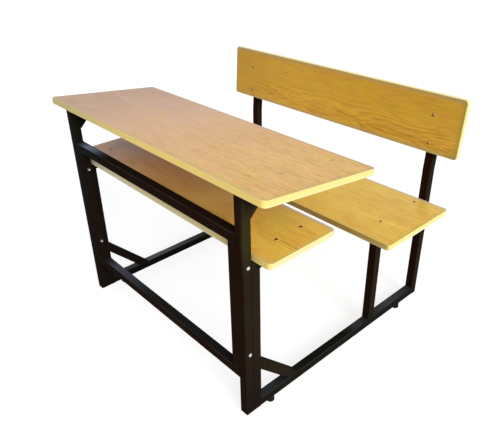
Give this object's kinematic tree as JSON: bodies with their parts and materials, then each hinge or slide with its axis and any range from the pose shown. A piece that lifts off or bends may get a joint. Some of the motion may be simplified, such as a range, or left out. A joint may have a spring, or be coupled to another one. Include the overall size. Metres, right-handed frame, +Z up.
{
  "type": "school desk with bench",
  "caption": "One-piece school desk: sloping desktop with book shelf, and a fixed bench with backrest, on a bolted black square-tube frame.",
  "frame": {"origin": "on the floor, below the middle of the object's bounding box", "axes": "+X along the desk and bench, to the right of a person who faces the desktop's front edge from outside; +Y from the desk to the bench; +Z up"},
  "size_m": [1.088, 0.9146, 0.8192],
  "materials": {
    "wood_laminate": "satin laminate",
    "edge_band": "satin",
    "black_frame": "gloss",
    "board_screws": "satin",
    "zinc_hardware": "zinc plated",
    "foot_plastic": "satin",
    "plug_plastic": "satin"
  },
  "bodies": {
    "root": {"back_leg_foot_plugs": "plug_plastic", "back_leg_top_plugs": "plug_plastic", "backrest_board": "wood_laminate", "backrest_edge_band": "edge_band", "backrest_screws": "board_screws", "desk_arm_plugs": "plug_plastic", "desktop_board": "wood_laminate", "desktop_edge_band": "edge_band", "desktop_screws": "board_screws", "foot_screws": "zinc_hardware", "frame_bolts": "zinc_hardware", "frame_nuts": "zinc_hardware", "frame_washers": "zinc_hardware", "front_left_foot": "foot_plastic", "front_right_foot": "foot_plastic", "left_back_leg": "black_frame", "left_bench_post": "black_frame", "left_desk_arm": "black_frame", "left_desk_gusset": "black_frame", "left_floor_runner": "black_frame", "left_foot_brace": "black_frame", "left_front_upright": "black_frame", "left_rear_post": "black_frame", "left_seat_bearer": "black_frame", "left_shelf_bearer": "black_frame", "left_stile": "black_frame", "lower_rail": "black_frame", "rear_left_foot": "foot_plastic", "rear_post_plugs": "plug_plastic", "rear_right_foot": "foot_plastic", "right_back_leg": "black_frame", "right_bench_post": "black_frame", "right_desk_arm": "black_frame", "right_desk_gusset": "black_frame", "right_floor_runner": "black_frame", "right_foot_brace": "black_frame", "right_front_upright": "black_frame", "right_rear_post": "black_frame", "right_seat_bearer": "black_frame", "right_shelf_bearer": "black_frame", "right_stile": "black_frame", "seat_bearer_plugs": "plug_plastic", "seat_board": "wood_laminate", "seat_edge_band": "edge_band", "seat_screws": "board_screws", "shelf_bearer_plugs": "plug_plastic", "shelf_board": "wood_laminate", "shelf_edge_band": "edge_band", "shelf_screws": "board_screws", "upper_rail": "black_frame", "upright_plugs": "plug_plastic"}
  },
  "joints": []
}
